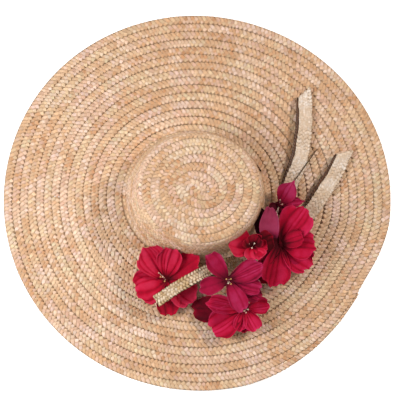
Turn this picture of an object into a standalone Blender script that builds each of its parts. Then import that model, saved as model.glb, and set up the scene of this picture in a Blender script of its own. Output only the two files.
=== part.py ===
"""Wide-brimmed straw hat, sewn from one plait in overlapping rows, with fabric flowers and a plait bow.

The crown and the brim are turned in rows and then blocked: drawn out to an oval, and waved at the edge.
+X runs along the head from back to front of the oval, and the hat rests on the edge of its brim at z = 0.
"""

import math

import bmesh
import bpy
from mathutils import Vector

# Hat block, in metres
HEAD_LENGTH = 0.1850          # inside of the crown at the headline, along X
HEAD_WIDTH = 0.1690           # inside of the crown at the headline, along Y
CROWN_HEIGHT = 0.0740         # from the brim up to the inside of the crown's tip
SHOULDER_RADIUS = 0.0095      # inside radius of the turn from tip to wall
SEAT_RADIUS = 0.0160          # flat middle of the tip's inside, which a head or a stand meets
TIP_SLOPE = math.radians(6)   # how far the tip has turned down where the shoulder starts
WALL_SLOPE = math.radians(79)  # slope of the side wall below the horizontal
CROWN_BACK = 0.0060           # the crown sits this far off the brim's middle, towards -X
CROWN_SIDE = 0.0040           # and this far towards +Y

# Brim, in metres
BRIM_LENGTH = 0.5160          # across the brim, along X
BRIM_WIDTH = 0.5050           # across the brim, along Y
HEADLINE_HEIGHT = 0.0200      # underside of the brim at the headline, above the floor
EDGE_WAVE = 0.0140            # how far the edge rises between the spots that it rests on
EDGE_DENT = 0.0087            # how far the edge is drawn in where the plait ends

# Straw plait, in metres
ROW_PITCH = 0.0108            # from one row to the next
PLAIT_THICKNESS = 0.0014      # where the plait lies alone
ROW_LAP = 0.0010              # extra thickness where a row overlaps the next one

# Plait ribbon of the bow, in metres
TAIL_WIDTH = 0.0200
LOOP_WIDTH = 0.0165           # the same ribbon, drawn together where it is folded into the loop
RIBBON_THICKNESS = 0.0016
TAIL_LIFT = 0.0110            # how high the tails stand off the brim
LOOP_LIFT = 0.0335            # how high the top of the loop stands off the brim

# Flowers, in metres
FLOWER_HEIGHT = 0.0310        # petals' roots above the brim, on the flower that stands highest
PETAL_LENGTH = 0.0500
PETAL_WIDTH = 0.0400
PETAL_THICKNESS = 0.0012
CALYX_FOOT = 0.0056           # radius of a calyx on the brim
CALYX_TOP = 0.0060            # radius of a calyx where the petals start
CALYX_RISE = 0.0040           # the calyx's button stands this far above the petals' roots
CALYX_SEGMENTS = 10
PETAL_LAYER = 0.0004          # how far apart the roots of a flower's petals lie in height
WIDE_PETAL = 0.76             # a petal wider than this share of PETAL_WIDTH has twice the faces across it
STEM_WIRE_RADIUS = 0.0007

# Petal outline and cupping, as shares of the petal's own length or half width
CLAW_WIDTH = 0.16             # half width where the petal leaves the calyx
WIDEST_PLACE = 0.72           # how far along the petal is widest
END_WIDTH = 0.68              # half width where the petal ends
CORNER_ROUNDING = 0.13        # how far the corners of the end fall short
CUPPING = 0.22                # height of the edges above the middle

CLEARANCE = 0.0003            # between pieces that touch

CROWN_SEGMENTS = 44
BRIM_SEGMENTS = 60
ROWS_PER_INNER_RING = 2       # the plain inner side has one ring for every so many rows
SMOOTH_ANGLE = math.radians(35)  # a fold under this angle is shaded as one surface
GROUND_SEARCHES = 12          # steps taken to find the brim's row under a place
FOOT_RINGS = 12               # places felt for on the way out from the middle of a calyx's foot
FOOT_SPOKES = 16              # and on the way round it

# Round the brim: where the edge is level on the floor (0) and where it is lifted (1)
# columns: angle in degrees, share of EDGE_WAVE
EDGE_LIFTS = [
    (24, 0.9),
    (80, 0.0),
    (100, 0.0),
    (150, 0.8),
    (200, 0.0),
    (220, 0.0),
    (268, 0.7),
    (316, 0.0),
    (334, 0.0),
]

# Where the plait's end is drawn in under the row before it
# columns: angle in degrees, share of EDGE_DENT
EDGE_DENTS = [(278, 0.0), (328, 1.0), (356, 0.0)]

# The bow. Each row is a point on the middle of the ribbon.
# columns: angle round the hat in degrees, share of the way across the brim, height of the
# ribbon's inner face above the brim as a share of TAIL_LIFT or LOOP_LIFT, slope across it in
# degrees, left edge up
TAIL_BACK = [
    (0, 0.180, 0.00, 0),
    (9, 0.216, 0.30, 2),
    (20, 0.326, 0.40, 10),
    (28, 0.414, 0.34, 16),
    (36, 0.524, 0.30, 18),
    (43, 0.636, 0.26, 18),
    (48.3, 0.740, 0.20, 14),
]
TAIL_FRONT = [
    (349, 0.330, 0.00, 0),
    (356, 0.396, 0.30, 6),
    (3.5, 0.470, 0.36, 14),
    (10.5, 0.573, 0.32, 18),
    (16.4, 0.662, 0.28, 18),
    (20.5, 0.740, 0.20, 14),
]
LOOP = [
    (302, 0.105, 0.00, 0),
    (295, 0.088, 0.36, 0),
    (288, 0.084, 0.60, 0),
    (276.4, 0.109, 0.79, 0),
    (266.3, 0.171, 0.94, 0),
    (257.4, 0.259, 1.00, 0),
    (251.5, 0.355, 0.98, 0),
    (249.8, 0.388, 0.87, 0),
    (251.5, 0.355, 0.75, 0),
    (257.4, 0.259, 0.75, 0),
    (266.3, 0.171, 0.72, 0),
    (276.4, 0.118, 0.45, 0),
    (284, 0.105, 0.24, 0),
    (288, 0.112, 0.06, 0),
]
# The wire lies over the back tail and comes down to the brim beyond it.
# columns: angle round the hat in degrees, share of the way across the brim, height above the
# brim as a share of TAIL_LIFT
STEM_WIRE = [
    (8, 0.218, 0.72),
    (13.5, 0.293, 0.80),
    (17.2, 0.356, 0.82),
    (20, 0.412, 0.64),
    (22.1, 0.466, 0.24),
    (23.6, 0.506, 0.00),
]

# The flowers. columns of each: name, angle round the hat in degrees, share of the way across
# the brim, height of the petals' roots above the brim as a share of FLOWER_HEIGHT, then its
# petals: azimuth in degrees, length and width as shares of PETAL_LENGTH and PETAL_WIDTH,
# slope at the root and at the tip in degrees
FLOWERS = [
    ("flower_left", 250.9, 0.192, 0.29, [
        (205, 0.87, 1.15, 16, -2),
        (130, 0.96, 0.95, 34, 10),
        (80, 0.86, 0.80, 40, 24),
        (30, 0.88, 0.62, 19, 13),
        (275, 0.94, 0.78, 2, -6),
        (322, 0.84, 0.85, 2, -6),
    ]),
    ("flower_middle", 288.1, 0.210, 0.92, [
        (122, 0.84, 0.56, 32, 16),
        (24, 0.96, 0.62, 24, 6),
        (195, 0.80, 0.54, 26, 6),
        (292, 0.86, 0.56, 14, 0),
        (341, 0.84, 0.56, 6, -6),
    ]),
    ("flower_lower", 292.2, 0.456, 0.32, [
        (12, 0.62, 0.54, 20, 0),
        (294, 0.66, 0.62, 15, -5),
        (250, 0.60, 0.50, 14, -5),
        (214, 1.04, 0.86, 12, -10),
        (171, 0.98, 0.56, 22, 6),
        (182, 1.34, 0.80, -4, -8),
    ]),
    ("flower_cup", 313.9, 0.075, 1.00, [
        (189, 0.62, 0.66, 52, 34),
        (130, 0.48, 0.55, 76, 66),
        (70, 0.40, 0.50, 72, 56),
        (275, 0.40, 0.58, 50, 20),
        (340, 0.48, 0.55, 40, 20),
    ]),
    ("flower_top", 353.2, 0.109, 0.58, [
        (52, 0.62, 0.54, 30, 8),
        (204, 0.36, 0.36, 20, 0),
        (300, 0.30, 0.35, 10, 0),
    ]),
    ("flower_right", 329.1, 0.241, 0.42, [
        (57, 1.04, 1.04, 34, 8),
        (5, 0.84, 0.86, 40, 12),
        (331, 0.92, 1.00, 26, 2),
        (260, 1.08, 1.00, 10, -4),
        (226, 0.80, 0.65, 6, -6),
    ]),
    ("flower_bud", 326.6, 0.132, 0.81, [
        (91, 0.74, 0.64, 32, 4),
    ]),
]

STRAW = ("Natural straw plait", (0.72, 0.50, 0.33), 0.6)
RIBBON = ("Bleached straw ribbon", (0.78, 0.62, 0.44), 0.6)
CRIMSON = ("Crimson flower cloth", (0.42, 0.01, 0.05), 0.8)
MAUVE = ("Mauve flower cloth", (0.35, 0.03, 0.10), 0.8)
WIRE = ("Olive stem wire", (0.08, 0.05, 0.03), 0.5)


def clear_scene():
    """Empties the scene, and returns the collections for the hat and for what shapes it."""
    for obj in list(bpy.data.objects):
        bpy.data.objects.remove(obj, do_unlink=True)
    made = []
    for name in ("Straw hat", "Cutters"):
        collection = bpy.data.collections.new(name)
        bpy.context.scene.collection.children.link(collection)
        made.append(collection)
    return made


def material(finish):
    name, colour, roughness = finish
    found = bpy.data.materials.get(name)
    if found:
        return found
    made = bpy.data.materials.new(name)
    made.use_nodes = True
    shader = made.node_tree.nodes["Principled BSDF"]
    shader.inputs["Base Color"].default_value = (*colour, 1)
    shader.inputs["Roughness"].default_value = roughness
    shader.inputs["Metallic"].default_value = 0
    made.diffuse_color = (*colour, 1)
    return made


def add_object(name, mesh, collection, finish):
    obj = bpy.data.objects.new(name, mesh)
    collection.objects.link(obj)
    mesh.materials.clear()
    mesh.materials.append(material(finish))
    return obj


def ring_value(table, degrees):
    """Reads a table of (angle, value) round the hat, eased from each row to the next."""
    rows = [(table[-1][0] - 360, table[-1][1])] + list(table) + [(table[0][0] + 360, table[0][1])]
    degrees %= 360
    for (start, low), (end, high) in zip(rows, rows[1:]):
        if start <= degrees <= end:
            share = (degrees - start) / (end - start)
            return low + (high - low) * (1 - math.cos(math.pi * share)) / 2
    return rows[-1][1]


# Blocking: from places on the turned shape to places on the finished hat

def headline(angle):
    """The inside of the crown at the brim."""
    return Vector((
        -CROWN_BACK + HEAD_LENGTH / 2 * math.cos(angle),
        CROWN_SIDE + HEAD_WIDTH / 2 * math.sin(angle),
        0,
    ))


def brim_edge(angle):
    drawn_in = EDGE_DENT * ring_value(EDGE_DENTS, math.degrees(angle))
    return Vector((
        (BRIM_LENGTH / 2 - drawn_in) * math.cos(angle),
        (BRIM_WIDTH / 2 - drawn_in) * math.sin(angle),
        0,
    ))


HEAD_MEAN = (HEAD_LENGTH + HEAD_WIDTH) / 4
BRIM_RUN = (BRIM_LENGTH + BRIM_WIDTH) / 4 - HEAD_MEAN
BRIM_FOOT = (PLAIT_THICKNESS + ROW_LAP) / BRIM_RUN    # the strip that the crown's wall stands on
BRIM_ROWS = round((1 - BRIM_FOOT) * BRIM_RUN / ROW_PITCH)
ROW_SHARE = (1 - BRIM_FOOT) / BRIM_ROWS


def smooth(share):
    share = min(max(share, 0), 1)
    return share * share * (3 - 2 * share)


def brim_underside(angle, share):
    """A point under the brim: share runs from 0 at the headline to 1 at the edge. The last row is level."""
    point = headline(angle).lerp(brim_edge(angle), share)
    level_from = 1 - 1 / BRIM_ROWS
    fall = 1 - smooth(share / level_from)
    lift = EDGE_WAVE * ring_value(EDGE_LIFTS, math.degrees(angle))
    point.z = HEADLINE_HEIGHT * fall + lift * share * share
    return point


def row_relief(share):
    """How thick the plait is at a share of the way across: each row rises to where it laps over the next."""
    rows = max(share - BRIM_FOOT, 0) / ROW_SHARE
    row = min(int(rows), BRIM_ROWS - 1)
    lap = ROW_LAP if row < BRIM_ROWS - 1 else 0
    return PLAIT_THICKNESS + lap * (rows - row)


def place_on_brim(x, y):
    """The angle and the share of the brim's way across that lie at a place in plan."""
    angle = math.atan2(y - CROWN_SIDE, x + CROWN_BACK)
    share = 0.0
    for _ in range(GROUND_SEARCHES):
        start = headline(angle)
        run = brim_edge(angle) - start
        offset = Vector((x, y, 0)) - start - run * share
        share += offset.dot(run) / run.length_squared
        round_the_hat = Vector((-run.y, run.x, 0)).normalized()
        angle += offset.dot(round_the_hat) / (HEAD_MEAN + share * BRIM_RUN)
    return angle, share


def ground(x, y):
    """The height that clears the rows of the brim all round a place."""
    return brim_underside(*place_on_brim(x, y)).z + PLAIT_THICKNESS + ROW_LAP + CLEARANCE


def foot_height(x, y, radius):
    """The height at which a level round foot just clears the brim's rows."""
    heights = []
    for ring in range(FOOT_RINGS + 1):
        for spoke in range(FOOT_SPOKES):
            turn = 2 * math.pi * spoke / FOOT_SPOKES
            reach = radius * ring / FOOT_RINGS
            angle, share = place_on_brim(x + reach * math.cos(turn), y + reach * math.sin(turn))
            heights.append(brim_underside(angle, share).z + row_relief(share))
    return max(heights) + CLEARANCE


# The crown and the brim

def crown_section():
    """The lengths of the crown's tip, shoulder and wall, along their inside, from the middle to the brim."""
    slope_run = SHOULDER_RADIUS * (math.sin(WALL_SLOPE) - math.sin(TIP_SLOPE))
    slope_drop = SHOULDER_RADIUS * (math.cos(TIP_SLOPE) - math.cos(WALL_SLOPE))
    run_left = HEAD_MEAN - slope_run
    drop_left = CROWN_HEIGHT - slope_drop
    tip_run = math.sin(TIP_SLOPE) / TIP_SLOPE
    tip_drop = (1 - math.cos(TIP_SLOPE)) / TIP_SLOPE
    wall_run = math.cos(WALL_SLOPE)
    wall_drop = math.sin(WALL_SLOPE)
    scale = tip_run * wall_drop - tip_drop * wall_run
    tip_length = (run_left * wall_drop - drop_left * wall_run) / scale
    wall_length = (tip_run * drop_left - tip_drop * run_left) / scale
    return tip_length, SHOULDER_RADIUS * (WALL_SLOPE - TIP_SLOPE), wall_length


def crown_point(distance, thickness):
    """A point on the crown's section: distance along the inside line, thickness outwards from it."""
    tip_length, shoulder_length, _ = crown_section()
    tip_radius = tip_length / TIP_SLOPE
    top = HEADLINE_HEIGHT + PLAIT_THICKNESS + CLEARANCE + CROWN_HEIGHT
    on_tip = min(distance, tip_length)
    slope = on_tip / tip_radius
    radius = tip_radius * math.sin(slope)
    height = top - tip_radius * (1 - math.cos(slope))
    on_shoulder = min(max(distance - tip_length, 0), shoulder_length)
    if on_shoulder > 0:
        turned = slope + on_shoulder / SHOULDER_RADIUS
        radius += SHOULDER_RADIUS * (math.sin(turned) - math.sin(slope))
        height -= SHOULDER_RADIUS * (math.cos(slope) - math.cos(turned))
        slope = turned
    on_wall = max(distance - tip_length - shoulder_length, 0)
    radius += on_wall * math.cos(slope) + thickness * math.sin(slope)
    height += thickness * math.cos(slope) - on_wall * math.sin(slope)
    return radius, height


def turned(name, profile, segments):
    """A mesh turned from a profile of (radius, height) points, given down the outside and up the inside."""
    mesh = bpy.data.meshes.new(name)
    edges = [(i, i + 1) for i in range(len(profile) - 1)]
    if profile[0][0] > 0:
        edges.append((len(profile) - 1, 0))
    mesh.from_pydata([(radius, 0, height) for radius, height in profile], edges, [])
    blank = bpy.data.objects.new(name, mesh)
    bpy.context.scene.collection.objects.link(blank)
    screw = blank.modifiers.new("Turn", "SCREW")
    screw.steps = segments
    screw.render_steps = segments
    screw.use_merge_vertices = True
    screw.merge_threshold = 0.00001
    evaluated = blank.evaluated_get(bpy.context.evaluated_depsgraph_get())
    result = bpy.data.meshes.new_from_object(evaluated)
    bpy.data.objects.remove(blank, do_unlink=True)
    bpy.data.meshes.remove(mesh)
    result.name = name
    return result


def make_crown(collection):
    length = sum(crown_section())
    rows = round(length / ROW_PITCH)
    pitch = length / rows
    thick = PLAIT_THICKNESS + ROW_LAP
    outside = [(0.0, crown_point(0, thick)[1])]
    for row in range(1, rows + 1):
        outside.append(crown_point(row * pitch - CLEARANCE, thick))
        if row < rows:
            outside.append(crown_point(row * pitch, PLAIT_THICKNESS))
    outside.append(crown_point(length, PLAIT_THICKNESS))
    inner_rings = max(rows // ROWS_PER_INNER_RING, 4)
    inside = [crown_point(length * ring / inner_rings, 0) for ring in range(inner_rings, 0, -1)]
    inside.append((0.0, crown_point(0, 0)[1]))
    seat_height = crown_point(SEAT_RADIUS, 0)[1]
    inside = [(radius, min(height, seat_height)) for radius, height in inside]
    inside.insert(-1, (SEAT_RADIUS, seat_height))
    mesh = turned("crown", outside + inside, CROWN_SEGMENTS)
    for vertex in mesh.vertices:
        vertex.co.x = -CROWN_BACK + vertex.co.x * HEAD_LENGTH / 2 / HEAD_MEAN
        vertex.co.y = CROWN_SIDE + vertex.co.y * HEAD_WIDTH / 2 / HEAD_MEAN
    crown = add_object("crown", mesh, collection, STRAW)
    finish_straw(crown)
    return crown


def make_brim(collection):
    step = CLEARANCE / BRIM_RUN
    top = [(0.0, PLAIT_THICKNESS), (BRIM_FOOT, PLAIT_THICKNESS)]
    for row in range(1, BRIM_ROWS + 1):
        share = BRIM_FOOT + row * ROW_SHARE
        top.append((share - step, row_relief(share - step)))
        if row < BRIM_ROWS:
            top.append((share, PLAIT_THICKNESS))
    shares = [BRIM_FOOT + row * ROW_SHARE for row in range(0, BRIM_ROWS, ROWS_PER_INNER_RING)]
    under = [(1.0, 0.0), (1 - ROW_SHARE, 0.0)]
    under += [(share, 0.0) for share in reversed(shares) if share < under[-1][0] - step]
    under += [(0.0, 0.0)]
    # The edge's own point joins the top to the underside
    profile = [(HEAD_MEAN + share * BRIM_RUN, height) for share, height in top + under]
    mesh = turned("brim", profile, BRIM_SEGMENTS)
    for vertex in mesh.vertices:
        angle = math.atan2(vertex.co.y, vertex.co.x)
        share = (math.hypot(vertex.co.x, vertex.co.y) - HEAD_MEAN) / BRIM_RUN
        offset = vertex.co.z
        vertex.co = brim_underside(angle, share)
        vertex.co.z += offset
    brim = add_object("brim", mesh, collection, STRAW)
    finish_straw(brim)
    return brim


def finish_straw(obj):
    """Shades the plait smooth, with its row edges left sharp."""
    obj.data.shade_smooth()
    obj.data.set_sharp_from_angle(angle=SMOOTH_ANGLE)


# Ribbon, wire and flowers

def shaped_sheet(name, along, across, place):
    """A grid bent into place. place(u, v) gives a point, u from 0 to 1 along it and v from -1 to 1 across."""
    mesh = bpy.data.meshes.new(name)
    grid = bmesh.new()
    bmesh.ops.create_grid(grid, x_segments=along, y_segments=across, size=1)
    for vertex in grid.verts:
        vertex.co = place((vertex.co.x + 1) / 2, vertex.co.y)
    grid.to_mesh(mesh)
    grid.free()
    return mesh


def thicken(obj, thickness, offset):
    solidify = obj.modifiers.new("Thickness", "SOLIDIFY")
    solidify.thickness = thickness
    solidify.offset = offset


def smooth_route(points, share):
    """A point on the smooth curve through the points, share from 0 to 1 along it."""
    last = len(points) - 1
    place = min(max(share, 0), 1) * last
    index = min(int(place), last - 1)
    t = place - index
    before, start, end, after = (points[min(max(index + k, 0), last)] for k in (-1, 0, 1, 2))
    return [
        0.5 * (2 * b + (c - a) * t + (2 * a - 5 * b + 4 * c - d) * t * t + (3 * b - a - 3 * c + d) * t ** 3)
        for a, b, c, d in zip(before, start, end, after)
    ]


def ribbon_stations(table, lift, width, count):
    """Evenly spread stations along a ribbon: its middle in plan, the direction across it, its height and tilt."""
    route = []
    for degrees, share, height, tilt in table:
        middle = brim_underside(math.radians(degrees), share)
        route.append((middle.x, middle.y, height * lift, tilt))
    spots = [smooth_route(route, index / count) for index in range(count + 1)]
    stations = []
    across = None
    for index, spot in enumerate(spots):
        before, after = spots[max(index - 1, 0)], spots[min(index + 1, count)]
        ahead = Vector((after[0] - before[0], after[1] - before[1]))
        side = Vector((-ahead.y, ahead.x)).normalized()
        if across is not None:
            # at a fold the ribbon turns back, and its own side stays the same
            side = -side if side.dot(across) < 0 else side
            side = across if ahead.length < width / 8 else side
        across = side
        stations.append((Vector(spot[:2]), across, spot[2], math.radians(spot[3])))
    return stations


def make_ribbon(name, table, lift, width, pieces, collection, cut_back):
    """A strip of plait ribbon. cut_back is how far its tip is cut back at the left edge, in ribbon widths."""
    stations = ribbon_stations(table, lift, width, pieces)

    def place(u, v):
        index = round(u * pieces)
        middle, across, height, tilt = stations[index]
        spot = middle + across * (v * width / 2 * math.cos(tilt))
        if index == pieces and v > 0:
            back = (stations[index - 1][0] - middle).normalized()
            spot += back * (cut_back * width)
        level = ground(spot.x, spot.y) + height + width / 2 * math.sin(tilt) * (1 + v)
        return Vector((spot.x, spot.y, level))

    mesh = shaped_sheet(name, pieces, 1, place)
    ribbon = add_object(name, mesh, collection, RIBBON)
    thicken(ribbon, RIBBON_THICKNESS, 1.0)
    return ribbon


def make_wire(collection):
    curve = bpy.data.curves.new("stem_wire", "CURVE")
    curve.dimensions = "3D"
    curve.bevel_depth = STEM_WIRE_RADIUS
    curve.bevel_resolution = 1
    curve.use_fill_caps = True
    spline = curve.splines.new("POLY")
    spline.points.add(len(STEM_WIRE) - 1)
    for target, (degrees, share, height) in zip(spline.points, STEM_WIRE):
        spot = brim_underside(math.radians(degrees), share)
        foot = foot_height(spot.x, spot.y, 2 * STEM_WIRE_RADIUS)
        target.co = (spot.x, spot.y, foot + height * TAIL_LIFT + STEM_WIRE_RADIUS, 1)
    wire = bpy.data.objects.new("stem_wire", curve)
    collection.objects.link(wire)
    curve.materials.append(material(WIRE))
    return wire


def petal_width(u):
    """Half width of a petal as a share of its full half width: a narrow claw, widest past the middle."""
    if u < WIDEST_PLACE:
        return CLAW_WIDTH + (1 - CLAW_WIDTH) * math.sin(math.pi / 2 * u / WIDEST_PLACE)
    return END_WIDTH + (1 - END_WIDTH) * math.cos(math.pi / 2 * (u - WIDEST_PLACE) / (1 - WIDEST_PLACE))


def petal_place(azimuth, length, width, root_slope, tip_slope):
    """A petal that starts at the origin and runs out along its azimuth, curving from one slope to the other."""
    ahead = Vector((math.cos(azimuth), math.sin(azimuth), 0))
    side = Vector((-ahead.y, ahead.x, 0))
    up = Vector((0, 0, 1))

    def place(u, v):
        reach = length * u * (1 - CORNER_ROUNDING * v * v * u * u)
        turn = (tip_slope - root_slope) * reach / length
        middle = root_slope + turn / 2
        half = width / 2 * petal_width(u)
        along = ahead * math.cos(middle) + up * math.sin(middle)
        normal = up * math.cos(root_slope + turn) - ahead * math.sin(root_slope + turn)
        return along * reach + side * v * half + normal * (CUPPING * v * v * half)

    return place


def make_flower(row, collection, cutters):
    """Petals fused to a calyx, which stands on the brim."""
    name, degrees, share, root_height, petals = row
    finish = MAUVE if name == "flower_bud" else CRIMSON
    spot = brim_underside(math.radians(degrees), share)
    root = Vector((spot.x, spot.y, ground(spot.x, spot.y) + root_height * FLOWER_HEIGHT))
    bottom = foot_height(spot.x, spot.y, CALYX_FOOT)
    top = root.z + CALYX_RISE
    mesh = bpy.data.meshes.new(name)
    calyx = bmesh.new()
    bmesh.ops.create_cone(
        calyx, cap_ends=True, segments=CALYX_SEGMENTS,
        radius1=CALYX_FOOT, radius2=CALYX_TOP, depth=top - bottom,
    )
    bmesh.ops.translate(calyx, verts=calyx.verts, vec=(spot.x, spot.y, (top + bottom) / 2))
    calyx.to_mesh(mesh)
    calyx.free()
    flower = add_object(name, mesh, collection, finish)
    for index, (azimuth, length, width, root_slope, tip_slope) in enumerate(petals):
        place = petal_place(
            math.radians(azimuth), length * PETAL_LENGTH, width * PETAL_WIDTH,
            math.radians(root_slope), math.radians(tip_slope),
        )
        across = 4 if width > WIDE_PETAL else 2
        petal_mesh = shaped_sheet(f"{name}_petal_{index}", 4, across, place)
        petal = add_object(petal_mesh.name, petal_mesh, cutters, finish)
        # each petal leaves the calyx a little above the one before
        petal.location = root + Vector((0, 0, PETAL_LAYER * (index - len(petals) / 2)))
        petal.hide_render = True
        petal.display_type = "WIRE"
        thicken(petal, PETAL_THICKNESS, 0)
        join = flower.modifiers.new(f"Petal {index}", "BOOLEAN")
        join.operation = "UNION"
        join.solver = "EXACT"
        join.object = petal
    return flower


def main():
    collection, cutters = clear_scene()
    make_crown(collection)
    make_brim(collection)
    make_ribbon("ribbon_tail_back", TAIL_BACK, TAIL_LIFT, TAIL_WIDTH, 14, collection, 1.0)
    make_ribbon("ribbon_tail_front", TAIL_FRONT, TAIL_LIFT, TAIL_WIDTH, 12, collection, 1.0)
    make_ribbon("ribbon_loop", LOOP, LOOP_LIFT, LOOP_WIDTH, 26, collection, 0.0)
    make_wire(collection)
    for row in FLOWERS:
        make_flower(row, collection, cutters)


main()
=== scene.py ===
"""The looks of a wide-brimmed hat, sewn from one long straw plait and trimmed with crimson cloth flowers.

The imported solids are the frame. Each one gets its real surface here: the rows are braided strand by strand
along the spiral that the plait is sewn in, and the petals are pressed and pleated cloth.
"""

import math
from typing import NamedTuple

import bpy
import numpy as np
from mathutils import Matrix, Vector


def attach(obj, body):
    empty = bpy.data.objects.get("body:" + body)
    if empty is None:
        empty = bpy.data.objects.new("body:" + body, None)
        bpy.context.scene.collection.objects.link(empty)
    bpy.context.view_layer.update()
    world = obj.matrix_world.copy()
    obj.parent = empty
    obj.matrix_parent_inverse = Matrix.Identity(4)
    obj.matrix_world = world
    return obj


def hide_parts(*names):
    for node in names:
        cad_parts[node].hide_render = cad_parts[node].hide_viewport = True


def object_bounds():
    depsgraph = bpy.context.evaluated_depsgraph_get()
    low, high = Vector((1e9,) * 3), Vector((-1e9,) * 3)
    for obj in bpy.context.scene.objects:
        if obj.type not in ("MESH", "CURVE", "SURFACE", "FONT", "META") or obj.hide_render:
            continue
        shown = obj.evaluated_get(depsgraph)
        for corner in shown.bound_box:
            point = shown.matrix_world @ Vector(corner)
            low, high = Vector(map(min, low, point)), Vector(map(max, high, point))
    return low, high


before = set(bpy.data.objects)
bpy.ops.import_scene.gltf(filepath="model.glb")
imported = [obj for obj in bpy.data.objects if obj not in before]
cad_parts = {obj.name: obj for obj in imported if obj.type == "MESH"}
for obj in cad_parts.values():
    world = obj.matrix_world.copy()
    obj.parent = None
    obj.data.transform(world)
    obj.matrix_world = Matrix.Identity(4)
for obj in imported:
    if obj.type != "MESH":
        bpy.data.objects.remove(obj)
cad_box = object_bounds()
bpy.ops.object.select_all(action="DESELECT")

MM = 0.001

# The hat block, in metres, as the solids have it
BRIM_LENGTH = 0.5160
BRIM_WIDTH = 0.5050
HEAD_LENGTH = 0.1850
HEAD_WIDTH = 0.1690
CROWN_HEIGHT = 0.0740
SHOULDER_RADIUS = 0.0095
TIP_SLOPE = math.radians(6)
WALL_SLOPE = math.radians(79)
CROWN_BACK = 0.0060
CROWN_SIDE = 0.0040
HEADLINE_HEIGHT = 0.0200
LEVEL_FROM = 14 / 15          # share of the way across the brim where its slope ends
EDGE_WAVE = 0.0140            # how far the edge rises between the spots that it rests on
EDGE_DENT = 0.0087            # how far the edge is drawn in where the plait ends
LONE_THICKNESS = 0.0014       # of the plait's solid where it lies alone
SOLID_THICKNESS = 0.0024      # and where one row laps over the next
CLEARANCE = 0.0003

# columns: angle in degrees, share of EDGE_WAVE
EDGE_LIFTS = [
    (24, 0.9), (80, 0.0), (100, 0.0), (150, 0.8), (200, 0.0), (220, 0.0), (268, 0.7), (316, 0.0), (334, 0.0),
]
# columns: angle in degrees, share of EDGE_DENT
EDGE_DENTS = [(278, 0.0), (328, 1.0), (356, 0.0)]

CORNER_SOFT = 0.0060          # half the length over which the wall turns into the brim
START_FOLD = 0.0100           # half the length of the fold that the plait starts with
START_TURN = math.radians(-25)  # and which way the fold lies
OVAL_FROM = 0.0550            # this far from the middle, the rows have the head's oval

# The plait that the hat is sewn from, in metres
ROWS = 28                     # turns of the spiral, from the fold to the edge
PLAIT_WIDTH = 0.0134
PLAIT_LAP = 0.0009            # how much a row rises to lie on the next one
CROWN_PRESSING = 0.45         # share of that rise which is pressed flat on the crown
ROW_STEP = (330, 356)         # where each row of the brim steps out by one row, in degrees
END_FROM = 280                # where the last row starts to be drawn in, in degrees
STEP_SHIFT = 0.453            # sets the stepped rows level with the even spiral, taken over a turn
TURNS_ON_CROWN = 12.5
TURNS_TO_STEP = 9             # rows of the brim over which the even spiral becomes stepped
ROW_WANDER = 0.00035          # how far a row strays from its line, as sewn by hand
END_TUCK = 0.0009             # how far the last row's end sinks beside its neighbour

# The bow's ribbon, in metres
TAIL_WIDTH = 0.0200
LOOP_WIDTH = 0.0165           # the same ribbon, drawn together where it is folded into the loop
RIBBON_THICKNESS = 0.0016
TAIL_LIFT = 0.0110
LOOP_LIFT = 0.0335
SHADOW_STRIP_INSET = 0.0039            # the dark strip of painted shadow under each tail's left edge has its middle this far in from the tail's edge at its ends
SHADOW_STRIP_SHOWS = 0.0040            # and comes out by this much in the middle of its length
SHADOW_STRIP_DROP = 0.0016             # it hangs this far under the tail

# columns: angle round the hat in degrees, share of the way across the brim, height above the brim as a
# share of TAIL_LIFT or LOOP_LIFT, slope across the ribbon in degrees, left edge up
TAIL_BACK = [
    (0, 0.180, 0.00, 0), (9, 0.216, 0.30, 2), (20, 0.326, 0.40, 10), (28, 0.414, 0.34, 16),
    (36, 0.524, 0.30, 18), (43, 0.636, 0.26, 18), (48.3, 0.740, 0.20, 14),
]
TAIL_FRONT = [
    (349, 0.330, 0.00, 0), (356, 0.396, 0.30, 6), (3.5, 0.470, 0.36, 14), (10.5, 0.573, 0.32, 18),
    (16.4, 0.662, 0.28, 18), (20.5, 0.740, 0.20, 14),
]
LOOP = [
    (302, 0.105, 0.00, 0), (295, 0.088, 0.36, 0), (288, 0.084, 0.60, 0), (276.4, 0.109, 0.79, 0),
    (266.3, 0.171, 0.94, 0), (257.4, 0.259, 1.00, 0), (251.5, 0.355, 0.98, 0), (249.8, 0.388, 0.87, 0),
    (251.5, 0.355, 0.75, 0), (257.4, 0.259, 0.75, 0), (266.3, 0.171, 0.72, 0), (276.4, 0.118, 0.45, 0),
    (284, 0.105, 0.24, 0), (288, 0.112, 0.06, 0),
]

# The flowers, in metres
FLOWER_HEIGHT = 0.0310
PETAL_LENGTH = 0.0500
PETAL_WIDTH = 0.0400
PETAL_LAYER = 0.0004
CLOTH_THICKNESS = 0.0004
CALYX_FOOT = 0.0056
CALYX_TOP = 0.0060
CORNER_ROUNDING = 0.12        # how far the corners of a petal's end fall short, as a share of its length
CUPPING = 0.22                # height of its edges above its middle, as a share of its half width
PETAL_GRID = (40, 34)         # cuts along a petal and across it

# Outline of a petal as shares of its half width and length. columns: half width at the root, where it is
# widest, half width at the end
PETAL_FORM = (0.16, 0.76, 0.78)
PETAL_FORMS = {"bud": (0.80, 0.40, 0.52), "top": (0.16, 0.54, 0.26)}

# How far the darkening at its heart reaches, as a share of a petal: dark dye, and painted shade where the heart
# lies deep among the petals
HEART_SHADE_REACH = {"left": 0.46, "middle": 0.50, "lower": 0.62, "cup": 0.80, "top": 0.60, "right": 0.60, "bud": 0.30}
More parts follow.
